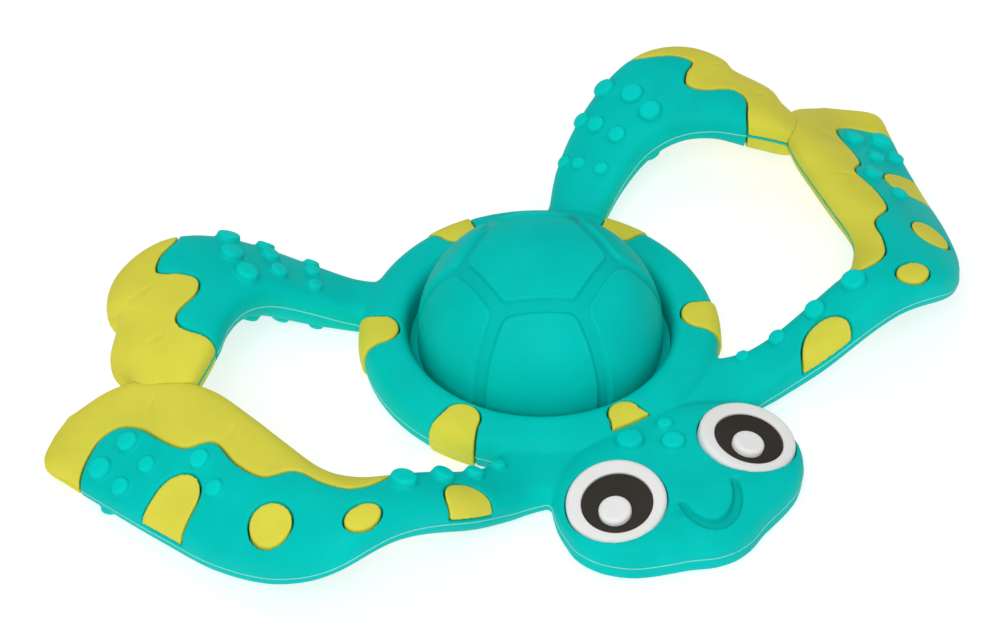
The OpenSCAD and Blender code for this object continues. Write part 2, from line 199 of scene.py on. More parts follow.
# Yellow spots on a front flipper: place, turn in degrees, then the half sizes of a round spot, or
# the end radius, length and width of a tongue.
ROUND_SPOTS = {"round": ((52.3, -32.1), 0, (3.3, 2.4)),
               "long": ((63.4, -23), -10, (3.3, 4.1))}
TONGUE_SPOTS = {"neck": ((34.3, -29.7), -92, (4.5, 14, 9.2)),
                "tip": ((67.6, -4.8), -22, (4.3, 16, 9.6))}

# Shell tabs: angle from the neck in degrees, how far they stand proud of the ring, and how far in
# they wrap round its edge.
EDGE_TABS = {"tail": 180, "fore_left": 61, "fore_right": -61, "aft_left": 117, "aft_right": -117}
TAB_PROUD = 0.4
TAB_WRAP = 1.6

# Gum bumps as station, share of the half width and radius, and on the head as plan place and
# radius. The same bumps go under a flipper where there is room.
FRONT_BUMPS = [(4.75, -0.25, 2.1), (4.05, -0.35, 1.8), (3.35, -0.45, 1.5), (2.7, -0.5, 1.2),
               (8.5, 0.3, 1.5), (9.05, 0.05, 1.7), (9.75, 0.4, 1.5), (9.85, 0.8, 1.5),
               (10.4, 0.2, 1.8), (10.45, 0.7, 1.9)]
FRONT_UNDER_BUMPS = [(10.1, 0.86, 1.3)]
REAR_BUMPS = [(3.75, -0.7, 2), (4, -0.05, 2), (4, 0.55, 2), (3, -0.75, 1.6), (2.95, -0.3, 1.6),
              (2.85, 0.35, 1.6), (2.05, -0.75, 1.3), (2, -0.3, 1.3), (1.9, 0.4, 1.3)]
HEAD_BUMPS = [(-3.6, -32.4, 2.2), (3.4, -32, 1.3), (2, -36.4, 1.9)]

# Profile of a bump as shares of its radius and its height, the height as a share of the radius, the
# lowest height for a bump under a flipper, the reach of the painted highlight on its top, and the
# share of the height where that starts.
BUMP_PROFILE = [(0, -0.6), (1.2, -0.6), (1.1, 0), (1.05, 0.12), (1.01, 0.5), (0.96, 0.82),
                (0.86, 0.97), (0.6, 1.02), (0, 1.02)]
BUMP_RISE = 0.6
BUMP_LOWEST = 1.2
BUMP_HIGHLIGHT_REACH = 1.4
BUMP_HIGHLIGHT_START = 0.4

# Faint moulded creases in the yellow parts, their depth, half width and sloping walls, and the
# height above which the skin is pressed.
CREASES = {
    "fin_band_top": [[(64.8, 13.4), (66.9, 11.5), (67.9, 7.6)],
                     [(58.6, -2.4), (59.9, -3.5), (61.1, -4.2)]],
    "cuff_top": [[(60.3, 32.3), (58.1, 31.7), (55.7, 31.8)],
                 [(61.3, 22.3), (60, 22), (58.7, 21.9)]],
}
CREASE_DEPTH = 0.2
CREASE_HALF = 0.5
CREASE_WALL = 1.4
CREASE_LOWEST = MID_Z + 1

# Parting flash: points along a flipper's edge and round the ring, how near a line lies to the skin
# that carries it, and the fewest points of a stretch.
FLASH_POINTS = 400
RING_POINTS = 720
FLASH_REACH = 0.45
FLASH_SHORTEST = 6

# Voxel in millimetres and rounds of smoothing for each skin, most triangles of each kind of piece,
# and the angle from which an edge stays sharp.
BASE_SKIN = (0.4, 3)
MOULDING_SKIN = (0.22, 6)
INLAY_SKIN = (0.2, 6)
MOULDING_TRIANGLES = 195000
DOME_TRIANGLES = 190000
INLAY_TRIANGLES = 60000
SHARP = math.radians(40)

# Soft studio lights: name, place, width in metres and power in watts, then the sky and the floor.
LIGHTS = (("key", (-0.42, -0.42, 0.6), 0.5, 3.9),
          ("fill", (0.5, -0.3, 0.7), 0.7, 0.9),
          ("back", (0.0, 0.35, 0.85), 0.7, 1.4))
SKY_STRENGTH = 0.32
FLOOR_SIZE = 6

# Camera at the photographed angle: place in millimetres, its right and up, and its lens.
CAMERA_PLACE = Vector((-200.271, -303.396, 349.038))
CAMERA_RIGHT = Vector((0.84951, -0.52757, -0.00158))
CAMERA_UP = Vector((0.35831, 0.57476, 0.73571))
CAMERA_LENS = 108.427
CAMERA_SENSOR = 36


def linear(hex_colour):
    """Turns an sRGB hex colour into linear red, green, blue and alpha."""
    parts = [int(hex_colour[k:k + 2], 16) / 255 for k in (1, 3, 5)]
    return [p / 12.92 if p <= 0.04045 else ((p + 0.055) / 1.055) ** 2.4 for p in parts] + [1.0]


class TeetherSizes(bpy.types.PropertyGroup):
    """Sizes of the teether that a user may change."""

    dome_radius: bpy.props.FloatProperty(
        name="Dome radius", description="Radius of the press dome at its foot",
        default=0.0205, unit="LENGTH")
    dome_height: bpy.props.FloatProperty(
        name="Dome height", description="Height of the dome above its skirt",
        default=0.0176, unit="LENGTH")
    dome_wall: bpy.props.FloatProperty(
        name="Dome wall", description="Thickness of the dome's wall",
        default=0.0022, unit="LENGTH")
    dome_skirt: bpy.props.FloatProperty(
        name="Dome skirt", description="Straight skirt under the dome",
        default=0.0032, unit="LENGTH")
    hexagon: bpy.props.FloatProperty(
        name="Hexagon", description="Distance of a hexagon corner from the dome axis",
        default=0.0129, unit="LENGTH")
    groove_width: bpy.props.FloatProperty(
        name="Groove width", description="Width of the grooves between the dome petals",
        default=0.0022, unit="LENGTH")
    groove_depth: bpy.props.FloatProperty(
        name="Groove depth", description="Depth of the grooves between the dome petals",
        default=0.00065, unit="LENGTH")
    bore_radius: bpy.props.FloatProperty(
        name="Ring bore", description="Inner radius of the shell ring",
        default=0.022, unit="LENGTH")
    ring_width: bpy.props.FloatProperty(
        name="Ring width", description="Width of the shell ring",
        default=0.008, unit="LENGTH")
    ring_lip: bpy.props.FloatProperty(
        name="Ring lip", description="Rise of the shell ring towards its bore",
        default=0.001, unit="LENGTH")
    body_top: bpy.props.FloatProperty(
        name="Thickness above", description="Thickness of the moulding above its parting surface",
        default=0.0042, unit="LENGTH")
    body_under: bpy.props.FloatProperty(
        name="Thickness below", description="Thickness of the moulding under its parting surface",
        default=0.0033, unit="LENGTH")
    head_top: bpy.props.FloatProperty(
        name="Head top", description="Height of the head above the parting plane",
        default=0.0053, unit="LENGTH")
    head_under: bpy.props.FloatProperty(
        name="Head underside", description="Depth of the head below the parting plane",
        default=0.0031, unit="LENGTH")
    arch_rise: bpy.props.FloatProperty(
        name="Arch rise", description="Rise of the flipper arch over the middle plane of the ring",
        default=0.011, unit="LENGTH")
    eye_width: bpy.props.FloatProperty(
        name="Eye width", description="Diameter of the white of an eye",
        default=0.016, unit="LENGTH")
    iris_width: bpy.props.FloatProperty(
        name="Iris width", description="Diameter of the iris",
        default=0.0114, unit="LENGTH")
    post_width: bpy.props.FloatProperty(
        name="Highlight width", description="Diameter of the highlight post",
        default=0.0052, unit="LENGTH")
    smile_width: bpy.props.FloatProperty(
        name="Smile width", description="Width of the engraved smile in its middle",
        default=0.0017, unit="LENGTH")
    inlay_gap: bpy.props.FloatProperty(
        name="Inlay gap", description="Gap between a yellow inlay and the wall of its pocket",
        default=0.0003, unit="LENGTH")
    band_core: bpy.props.FloatProperty(
        name="Band core",
        description="Half the teal edge seen between the two faces of a front band",
        default=0.0001, unit="LENGTH")
    cuff_core: bpy.props.FloatProperty(
        name="Cuff core",
        description="Half the teal edge seen between the two faces of a rear cuff",
        default=0.0002, unit="LENGTH")
    flash_width: bpy.props.FloatProperty(
        name="Flash width", description="Width of the thin flash along the parting line",
        default=0.00022, unit="LENGTH")


class TeetherColours(bpy.types.PropertyGroup):
    """Colours of the four silicones."""

    teal: bpy.props.FloatVectorProperty(
        name="Teal", description="Colour of the moulded frame and the dome",
        subtype="COLOR", size=4, default=linear("#00C5BC"))
    yellow: bpy.props.FloatVectorProperty(
        name="Yellow", description="Colour of the inlays",
        subtype="COLOR", size=4, default=linear("#DDD74B"))
    white: bpy.props.FloatVectorProperty(
        name="White", description="Colour of the eyes",
        subtype="COLOR", size=4, default=linear("#EDEDEC"))
    black: bpy.props.FloatVectorProperty(
        name="Black", description="Colour of the irises",
        subtype="COLOR", size=4, default=linear("#39342F"))
    flash: bpy.props.FloatVectorProperty(
        name="Flash", description="Colour of the thin flash on the parting line",
        subtype="COLOR", size=4, default=linear("#86E2D8"))
    tab_flash: bpy.props.FloatVectorProperty(
        name="Tab flash", description="Colour of the thin flash on the shell tabs",
        subtype="COLOR", size=4, default=linear("#E4DE86"))


def size(name):
    """A size of the teether in millimetres."""
    return getattr(bpy.context.scene.teether_sizes, name) / MM


# Numbers, lines and surfaces.
def unit(value):
    """Value held between 0 and 1."""
    return max(0, min(1, value))


def eased(share):
    """Share that starts and ends softly."""
    return share * share * (3 - 2 * share)


def turns(count):
    """Angles of even steps once round a circle."""
    return [2 * math.pi * k / count for k in range(count)]


def arc(centre, radius, angles):
    """Profile points on a circle at angles in degrees."""
    return [(centre[0] + radius * math.cos(math.radians(a)),
             centre[1] + radius * math.sin(math.radians(a))) for a in angles]


def along(points, s):
    """Curve through a list of numbers or plan points, s counts along the list."""
    if isinstance(points[0], tuple):
        return tuple(along([p[k] for p in points], s) for k in (0, 1))
    i = min(int(s), len(points) - 2)
    t = s - i
    a, b, c = points[max(i - 1, 0)], points[i], points[i + 1]
    d = points[min(i + 2, len(points) - 1)]
    return b + t / 2 * (c - a + t * (2 * a - 5 * b + 4 * c - d + t * (3 * b - 3 * c + d - a)))


def curve(points, steps):
    """Points along a curve through a list, so many steps from each to the next."""
    return [along(points, k / steps) for k in range((len(points) - 1) * steps + 1)]


def lift(x):
    """Height of the arched parting surface over the flat one."""
    share = max(-1, min(1, (abs(x) - ARCH_CREST) / ARCH_REACH))
    return size("arch_rise") / 2 * (1 + math.cos(math.pi * share))


def rounded(value, power):
    """Sine or cosine of a circle turned into that of a rounder or boxier section."""
    return math.copysign(abs(value) ** (2 / power), value)


def power_of(angle, tail_edge=TOP_POWER):
    """Power of a section in the direction of an angle."""
    if math.sin(angle) < 0:
        return UNDER_POWER
    return tail_edge if math.cos(angle) < 0 else TOP_POWER


def across(flipper, s, u):
    """Plan point at a station and a share of the half width."""
    tail, head = along(flipper["tail"], s), along(flipper["head"], s)
    return tuple((tail[k] * (1 - u) + head[k] * (1 + u)) / 2 for k in (0, 1))


def skin(flipper, s, u, v):
    """Point on a flipper at a station, a share of its half width and a share of its thickness."""
    x, y = across(flipper, s, u)
    slope = (lift(x + 0.1) - lift(x - 0.1)) / 0.2
    if v < 0:
        thick = size("body_under") * along(flipper["under"], s)
    else:
        thick = size("body_top") * along(flipper["top"], s)
    return (x, y, MID_Z + lift(x) + v * thick * math.sqrt(1 + slope * slope))


def rib(flipper, s, count=56):
    """Closed cross section of a flipper at a station."""
    points = []
    for angle in turns(count):
        power = power_of(angle, along(flipper["soft"], s))
        u, v = rounded(math.cos(angle), power), rounded(math.sin(angle), power)
        points.append(skin(flipper, s, u, v))
    return points


def bulge(u, power):
    """Share of the thickness at a share of the half width."""
    return (1 - min(1, abs(u)) ** power) ** (1 / power)


def at_body(point):
    """Place in metres of a plan point with its height."""
    return Vector((point[0] * MM, (point[1] + BODY_Y) * MM, point[2] * MM))


# Modelling steps.
def deselect():
    if bpy.context.mode != "OBJECT":
        bpy.ops.object.mode_set(mode="OBJECT")
    bpy.ops.object.select_all(action="DESELECT")


def pick(obj):
    deselect()
    obj.select_set(True)
    bpy.context.view_layer.objects.active = obj


def tidy_shell(obj, gap=1e-6):
    """Merges doubles and turns the faces outwards."""
    pick(obj)
    bpy.ops.object.mode_set(mode="EDIT")
    bpy.ops.mesh.select_all(action="SELECT")
    bpy.ops.mesh.remove_doubles(threshold=gap)
    bpy.ops.mesh.normals_make_consistent(inside=False)
    bpy.ops.object.mode_set(mode="OBJECT")
    return obj


def extruded(name, sections):
    """Closed body: a filled circle shaped to the first section and extruded through the rest."""
    deselect()
    bpy.ops.mesh.primitive_circle_add(vertices=len(sections[0]), radius=MM, fill_type="NGON")
    obj = bpy.context.active_object
    obj.name = name
    bpy.ops.object.mode_set(mode="EDIT")
    mesh = bmesh.from_edit_mesh(obj.data)
    order = mesh.verts.layers.int.new("order")
    mesh.verts.ensure_lookup_table()
    for k, vert in enumerate(mesh.verts):
        vert[order] = k
    for k, section in enumerate(sections):
        if k:
            bpy.ops.mesh.extrude_region_move()
            mesh = bmesh.from_edit_mesh(obj.data)
            order = mesh.verts.layers.int["order"]
        for vert in mesh.verts:
            if vert.select:
                vert.co = at_body(section[vert[order]])
        bmesh.update_edit_mesh(obj.data)
    bpy.ops.object.mode_set(mode="OBJECT")
    return tidy_shell(obj)


def spun(name, profile, closed=False, steps=120):
    """Body turned about the dome axis from a profile that is closed or ends twice on the axis."""
    deselect()
    bpy.ops.mesh.primitive_circle_add(vertices=len(profile), radius=MM, fill_type="NOTHING")
    obj = bpy.context.active_object
    obj.name = name
    bpy.ops.object.mode_set(mode="EDIT")
    mesh = bmesh.from_edit_mesh(obj.data)
    mesh.verts.ensure_lookup_table()
    for vert, (radius, height) in zip(mesh.verts, profile):
        vert.co = at_body((radius, 0, height))
    if not closed:
        ends = {mesh.verts[0], mesh.verts[-1]}
        for edge in mesh.edges:
            edge.select = set(edge.verts) == ends
        bmesh.update_edit_mesh(obj.data)
        bpy.ops.mesh.delete(type="EDGE")
    bpy.ops.mesh.select_all(action="SELECT")
    bpy.ops.mesh.spin(steps=steps, angle=2 * math.pi, center=at_body((0, 0, 0)), axis=(0, 0, 1))
    bpy.ops.object.mode_set(mode="OBJECT")
    return tidy_shell(obj)


def cylinder(name, radius, low, high, steps=120):
    """Cylinder about the dome axis between two heights."""
    return spun(name, [(0, low), (radius, low), (radius, high), (0, high)], steps=steps)


def copied(obj, name, move=None):
    """Copy with its own mesh, moved by a matrix whose mirror turns the faces back outwards."""
    twin = obj.copy()
    twin.data = obj.data.copy()
    twin.name = name
    bpy.context.scene.collection.objects.link(twin)
    if move is not None:
        twin.data.transform(move)
        if move.determinant() < 0:
            twin.data.flip_normals()
    return twin


def shifted(obj, shift):
    """Moves the mesh of a piece by plan millimetres."""
    obj.data.transform(Matrix.Translation((shift[0] * MM, shift[1] * MM, 0)))
    return obj


def mirrored(obj, name):
    return copied(obj, name, MIRROR)


def apply_modifier(obj, kind, **settings):
    """Adds a modifier with these settings and applies it."""
    pick(obj)
    step = obj.modifiers.new(kind.title(), kind)
    for name, value in settings.items():
        setattr(step, name, value)
    bpy.ops.object.modifier_apply(modifier=step.name)


def cut(obj, tool, how="DIFFERENCE", keep_tool=False):
    """Cuts a piece with a tool, keeps what both share or adds the tool, and deletes the tool."""
    apply_modifier(obj, "BOOLEAN", object=tool, operation=how, solver="MANIFOLD")
    if not len(obj.data.polygons):
        raise RuntimeError(f"{obj.name} is empty after {how.lower()} with {tool.name}")
    if not keep_tool:
        bpy.data.objects.remove(tool)
    return obj


def joined(name, pieces):
    """Joins pieces into the first one without welding them."""
    deselect()
    for piece in pieces:
        piece.select_set(True)
    bpy.context.view_layer.objects.active = pieces[0]
    bpy.ops.object.join()
    pieces[0].name = name
    return pieces[0]


def soften(obj, voxel, rounds):
    """Welds overlapping bodies into one skin and rounds its edges, as a silicone mould does."""
    apply_modifier(obj, "REMESH", mode="VOXEL", voxel_size=voxel * MM)
    apply_modifier(obj, "SMOOTH", factor=0.5, iterations=rounds)
    return obj


def thin(obj, most):
    """Collapses edges until the piece has at most that many triangles."""
    count = sum(len(p.vertices) - 2 for p in obj.data.polygons)
    if count > most:
        apply_modifier(obj, "DECIMATE", ratio=most / count)
    return obj


def place_piece(obj, name, material, nodes, body="body"):
    """Names a finished piece, gives it its silicone and lets it ride on its body."""
    pick(obj)
    bpy.ops.object.shade_smooth()
    obj.name = name
    obj.data.materials.clear()
    obj.data.materials.append(material)
    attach(obj, body)
    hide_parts(*nodes)
    return obj


# Materials.
def add_node(tree, kind, settings, links):
    """Adds a node, sets its values and links its inputs to the given outputs."""
    node = tree.nodes.new(kind)
    for name, value in settings.items():
        if name in node.inputs:
            node.inputs[name].default_value = value
        else:
            setattr(node, name, value)
    for name, output in links.items():
        tree.links.new(output, node.inputs[name])
    return node


def moulded_silicone(name, colour, rough=0.54, mottle=0.05):
    """Liquid silicone rubber from a spark-eroded steel mould: an even matte skin with soft wide
    highlights, faint cloudiness in the colour, and a fine grain that blurs every reflection."""
    found = bpy.data.materials.get(name)
    if found:
        return found
    material = bpy.data.materials.new(name)
    material.use_nodes = True
    tree = material.node_tree
    shader = tree.nodes["Principled BSDF"]
    place = add_node(tree, "ShaderNodeTexCoord", {}, {}).outputs["Object"]
    # Pigment clouds about 9 mm across.
    clouds = add_node(tree, "ShaderNodeTexNoise", {"Scale": 1 / (9 * MM), "Detail": 3.0},
                      {"Vector": place})
    tint = add_node(tree, "ShaderNodeValToRGB", {}, {"Fac": clouds.outputs["Fac"]})
    for stop, share in zip(tint.color_ramp.elements, (1 - mottle, 1 + mottle)):
        stop.color = [min(1, c * share) for c in colour[:3]] + [1]
    tint.color_ramp.elements[0].position = 0.3
    tint.color_ramp.elements[1].position = 0.7
    # Painted highlight pales the tops of the bumps, and painted shade darkens the dome grooves and
    # smile.
    painted_light_and_shade = add_node(tree, "ShaderNodeAttribute", {"attribute_name": "painted_light_and_shade"}, {})
    shade = add_node(tree, "ShaderNodeMapRange", {"From Min": -1, "To Min": 0.8, "To Max": 1.16},
                     {"Value": painted_light_and_shade.outputs["Fac"]})
    shaded = add_node(tree, "ShaderNodeVectorMath", {"operation": "SCALE"},
                      {"Vector": tint.outputs["Color"], "Scale": shade.outputs["Result"]})
    tree.links.new(shaded.outputs["Vector"], shader.inputs["Base Color"])
    # Handling marks about 4 mm across vary the sheen.
    wear = add_node(tree, "ShaderNodeTexNoise", {"Scale": 1 / (4 * MM), "Detail": 4.0},
                    {"Vector": place})
    sheen = add_node(tree, "ShaderNodeMapRange", {"To Min": rough - 0.06, "To Max": rough + 0.06},
                     {"Value": wear.outputs["Fac"]})
    tree.links.new(sheen.outputs["Result"], shader.inputs["Roughness"])
    # Mould grain is under 0.05 mm in the real part and is drawn 0.3 mm wide so that it shows.
    grain = add_node(tree, "ShaderNodeTexNoise", {"Scale": 1 / (0.3 * MM), "Detail": 2.0},
                     {"Vector": place})
    matte = add_node(tree, "ShaderNodeBump", {"Strength": 0.12, "Distance": 0.02 * MM},
                     {"Height": grain.outputs["Fac"]})
    tree.links.new(matte.outputs["Normal"], shader.inputs["Normal"])
    shader.inputs["IOR"].default_value = 1.41
    shader.inputs["Specular IOR Level"].default_value = 0.05
    shader.inputs["Subsurface Weight"].default_value = 0.08
    shader.inputs["Subsurface Radius"].default_value = (1, 1, 1)
    shader.inputs["Subsurface Scale"].default_value = 1 * MM
    return material


def teal():
    return moulded_silicone("teal_silicone_moulded", bpy.context.scene.teether_colours.teal)


def yellow():
    return moulded_silicone("yellow_silicone_moulded", bpy.context.scene.teether_colours.yellow)


# Blanks and tools.
def flipper_blank(name, flipper, first, last, per_station=8):
    """Loft of a flipper between two stations."""
    count = round((last - first) * per_station)
    stations = [first + (last - first) * k / count for k in range(count + 1)]
    return extruded(name, [rib(flipper, s) for s in stations])


def ring_blank(name, proud=0):
    """Shell ring with a flat underside, grown outwards by what the tabs stand proud."""
    half = size("ring_width") / 2
    middle = size("bore_radius") + half
    profile = []
    for angle in turns(64):
        power = power_of(angle)
        side = rounded(math.cos(angle), power)
        reach = half + (proud if side > 0 else 0)
        depth = size("body_top") + size("ring_lip") * (1 - side) / 2
        if math.sin(angle) < 0:
            depth = size("body_under") + RING_FLAT
        height = MID_Z + depth * rounded(math.sin(angle), power)
        profile.append((middle + reach * side, max(0.0, height)))
    return spun(name, profile, closed=True, steps=180)


def ledge_blank():
    """Ledge in the bore that carries the hinge web."""
    inner, outer = size("dome_radius") + LEDGE_GAP, size("bore_radius") + LEDGE_SUNK
    low, high = LEDGE_HEIGHTS
    return spun("ledge", [(inner, low), (outer, low), (outer, high), (inner, high)], closed=True)


def head_outline():
    half = curve(HEAD_HALF, 6)
    return half + [(-x, y) for x, y in reversed(half[1:-1])]


def head_blank():
    """Head as its plan outline, shrunk towards its middle over a rounded height."""
    outline = head_outline()
    loops = []
    for degrees in range(-85, 90, 5):
        angle = math.radians(degrees)
        power = power_of(angle) if degrees > 0 else HEAD_UNDER_POWER
        shrink, rise = rounded(math.cos(angle), power), rounded(math.sin(angle), power)
        height = MID_Z + (size("head_top") if degrees > 0 else size("head_under")) * rise
        loops.append([(x * shrink, HEAD_Y + (y - HEAD_Y) * shrink, height) for x, y in outline])
    return extruded("head", loops)


def inset(outline, gap):
    """Moves a closed plan outline inwards by the gap."""
    area = sum(a[0] * b[1] - b[0] * a[1] for a, b in zip(outline, outline[1:] + outline[:1]))
    turn = math.copysign(1, area)
    moved = []
    for k, point in enumerate(outline):
        before = Vector(point) - Vector(outline[k - 1])
        after = Vector(outline[(k + 1) % len(outline)]) - Vector(point)
        line = (before.normalized() + after.normalized()).normalized()
        moved.append((point[0] - turn * line.y * gap, point[1] + turn * line.x * gap))
    return moved


def prism(name, outline, low=-10, high=40):
    return extruded(name, [[(x, y, z) for x, y in outline] for z in (low, high)])


def off_core(face, half):
    """Space above or under a core of that half thickness in the arched left flippers."""
    near, far = ARCH_SPAN
    line = [(x, MID_Z + lift(x) + face * half) for x in range(near, far + 1)]
    line += [(far, face * FAR), (near, face * FAR)]
    return extruded("off_core", [[(x, y, z) for x, z in line] for y in (-FAR, FAR)])


def core(flipper, reach, half):
    """Arched sheet at a flipper's parting surface, between two shares of its half width."""
    inner, outer = reach
    shares = [inner + (outer - inner) * k / 15 for k in range(16)]
    last = len(flipper["tail"]) - 1
    sections = []
    for k in range(4 * (last - CORE_START) + 1):
        line = [across(flipper, CORE_START + k / 4, u) for u in shares]
        sections.append([(x, y, MID_Z + lift(x) + half) for x, y in line]
                        + [(x, y, MID_Z + lift(x) - half) for x, y in reversed(line)])
    return extruded("core", sections)


def band_core(grow=0):
    return core(FRONT, BAND_SHARES, size("band_core") + grow)


def cuff_core(grow=0):
    return core(REAR, CUFF_SHARES, size("cuff_core") + grow)


def band_outline():
    return curve(BAND_AREA, 8) + BAND_FAR


def cuff_outline():
    return curve(CUFF_AREA, 8) + CUFF_FAR


def turned(points, place, degrees):
    """Plan points turned about the origin and then moved to a place."""
    c, s = math.cos(math.radians(degrees)), math.sin(math.radians(degrees))
    return [(place[0] + x * c - y * s, place[1] + x * s + y * c) for x, y in points]


def tongue(end_radius, length, width, steps=32):
    """Rounded end at the start that widens or narrows to a straight end."""
    points = []
    for k in range(steps + 1):
        angle = math.pi / 2 + math.pi * k / steps
        points.append((end_radius + end_radius * math.cos(angle), end_radius * math.sin(angle)))
    return points + [(length, -width / 2), (length, width / 2)]


def spot_outlines():
    """Plan areas of the four spots on the left front flipper."""
    outlines = {}
    for name, (place, degrees, half) in ROUND_SPOTS.items():
        oval = [(half[0] * math.cos(a), half[1] * math.sin(a)) for a in turns(64)]
        outlines[name] = turned(oval, place, degrees)
    for name, (place, degrees, shape) in TONGUE_SPOTS.items():
        outlines[name] = turned(tongue(*shape), place, degrees)
    return outlines


def tab_outline(angle, inner=23.4, outer=30.8, width=9, end_radius=3.4):
    """Plan area of a shell tab at an angle from the neck, cut off at a circle."""
    points = [(inner + x, y) for x, y in tongue(end_radius, outer - inner, width)[:-2]]
    for k in range(9):
        swing = math.asin(width / 2 / outer) * (k / 4 - 1)
        points.append((outer * math.cos(swing), outer * math.sin(swing)))
    return turned(points, (0, 0), angle - 90)


def neck_tab_outline():
    """Plan area of the smaller tab at the neck, which ends before the edge of the ring."""
    return tab_outline(-0.8, inner=23.2, outer=28.4, width=7.6, end_radius=3)


def tab_core(gap=0):
    """Teal core inside the wrapped edge of the ring."""
    edge = size("bore_radius") + size("ring_width") - TAB_WRAP + gap
    return cylinder("tab_core", edge, MID_Z - CORE_HALF - gap, MID_Z + CORE_HALF + gap)


def inlay(name, blank, outline, face, gap, half):
    """Part of a blank inside a plan area and above or under a core of that half thickness."""
    piece = copied(blank, name)
    cut(piece, prism("area", inset(outline, gap)), "INTERSECT")
    cut(piece, off_core(face, half), "INTERSECT")
    return piece


def spot_pocket(blank, outline, side=LEFT):
    """Cuts a plan area of a blank down to its teal core."""
    tool = prism("pocket", outline)
    cut(tool, off_core(ABOVE, CORE_HALF), "INTERSECT")
    if side == RIGHT:
        tool.data.transform(MIRROR)
        tool.data.flip_normals()
    cut(blank, tool)


def surface_of(obj):
    return BVHTree.FromObject(obj, bpy.context.evaluated_depsgraph_get())


def bump_blank(radius, height):
    """Soft flat-topped gum bump whose foot is sunk in the skin."""
    profile = [(r * radius, h * height if h > 0 else h * radius) for r, h in BUMP_PROFILE]
    bump = spun("bump", profile, steps=32)
    bump.data.transform(Matrix.Translation(-at_body((0, 0, 0))))
    return bump


def bumps_on(skin_body, places, marks):
    """Bumps that stand square on the skin at their places, which are noted in the marks."""
    surface = surface_of(skin_body)
    bumps = []
    for point, radius in places:
        spot, normal, _, _ = surface.find_nearest(at_body(point))
        turn = normal.to_track_quat("Z", "Y").to_matrix().to_4x4()
        bump = bump_blank(radius, BUMP_RISE * radius)
        bump.data.transform(Matrix.Translation(spot) @ turn)
        bumps.append(bump)
        marks.append((spot, normal, radius))
    return bumps


def flipper_bump_places(flipper, bumps):
    """Places on top of a flipper, and under it where the arch leaves room for them."""
    places = []
    for station, share, radius in bumps:
        tail_edge = along(flipper["soft"], station) if share < 0 else TOP_POWER
        places.append((skin(flipper, station, share, bulge(share, tail_edge)), radius))
        low = skin(flipper, station, share, -bulge(share, UNDER_POWER))
        if low[2] > BUMP_LOWEST:
            places.append((low, radius))
    return places


def eye_frame(side):
    """Move that takes an eye from the dome axis to its tilted place on the head."""
    tilt_x, tilt_y = (math.radians(t) for t in EYE_TILT)
    turn = Matrix.Rotation(side * tilt_y, 4, "Y") @ Matrix.Rotation(tilt_x, 4, "X")
    x, y, z = EYE_PLACE
    shift = EYE_SHIFTS[side]
    place = at_body((side * x + shift[0], y + shift[1], z))
    return Matrix.Translation(place) @ turn @ Matrix.Translation(-at_body((0, 0, 0)))


def groove_shares(obj, line, widths, lowest, wall):
    """How far each point on top of a piece lies in a groove along a plan line of half widths."""
    spots = [Vector(point) for point in line]
    reach = max(widths) + wall
    low = Vector([min(spot[k] for spot in spots) - reach for k in (0, 1)])
    high = Vector([max(spot[k] for spot in spots) + reach for k in (0, 1)])
    shares = []
    for vert in obj.data.vertices:
        place = Vector((vert.co.x / MM, vert.co.y / MM - BODY_Y))
        if vert.co.z / MM < lowest or not (low.x < place.x < high.x and low.y < place.y < high.y):
            continue
        inside = -FAR
        for k in range(len(spots) - 1):
            step = spots[k + 1] - spots[k]
            t = unit((place - spots[k]).dot(step) / step.length_squared)
            half = widths[k] * (1 - t) + widths[k + 1] * t
            inside = max(inside, half - (place - spots[k] - step * t).length)
        share = unit(0.5 + inside / wall)
        if share:
            shares.append((vert, eased(share)))
    return shares


def smile_shares(obj):
    """How far each point lies in the engraved smile, which is widest in its middle."""
    line = curve(SMILE_LINE, 4)
    last = len(line) - 1
    swell = [0.6 + 0.4 * math.sin(math.pi * k / last) for k in range(last + 1)]
    widths = [size("smile_width") / 2 * share for share in swell]
    return groove_shares(obj, line, widths, SMILE_LOWEST, SMILE_WALL)


def press_creases(obj, lines):
    """Presses creases that taper to both ends into the top of a piece."""
    for line in lines:
        widths = [CREASE_HALF * math.sin(math.pi * k / 8) for k in range(9)]
        for vert, share in groove_shares(obj, curve(line, 4), widths, CREASE_LOWEST, CREASE_WALL):
            vert.co.z -= CREASE_DEPTH * share * MM


def mark_painted_light(obj, marks):
    """Notes for the material a painted highlight on the top of each bump and painted shade in the
    smile.
    """
    painted_light_and_shade = obj.data.attributes.new("painted_light_and_shade", "FLOAT", "POINT").data
    tree = KDTree(len(obj.data.vertices))
    for vert in obj.data.vertices:
        tree.insert(vert.co, vert.index)
    tree.balance()
    for spot, normal, radius in marks:
        for place, index, _ in tree.find_range(spot, BUMP_HIGHLIGHT_REACH * radius * MM):
            # Painted highlight on the upper part of each bump.
            rise = (place - spot).dot(normal) / (BUMP_RISE * radius * MM)
            pale = min(1, (rise - BUMP_HIGHLIGHT_START) / BUMP_HIGHLIGHT_START)
            painted_light_and_shade[index].value = max(painted_light_and_shade[index].value, pale)
    # Painted shade in the smile.
    for vert, share in smile_shares(obj):
        painted_light_and_shade[vert.index].value = -share


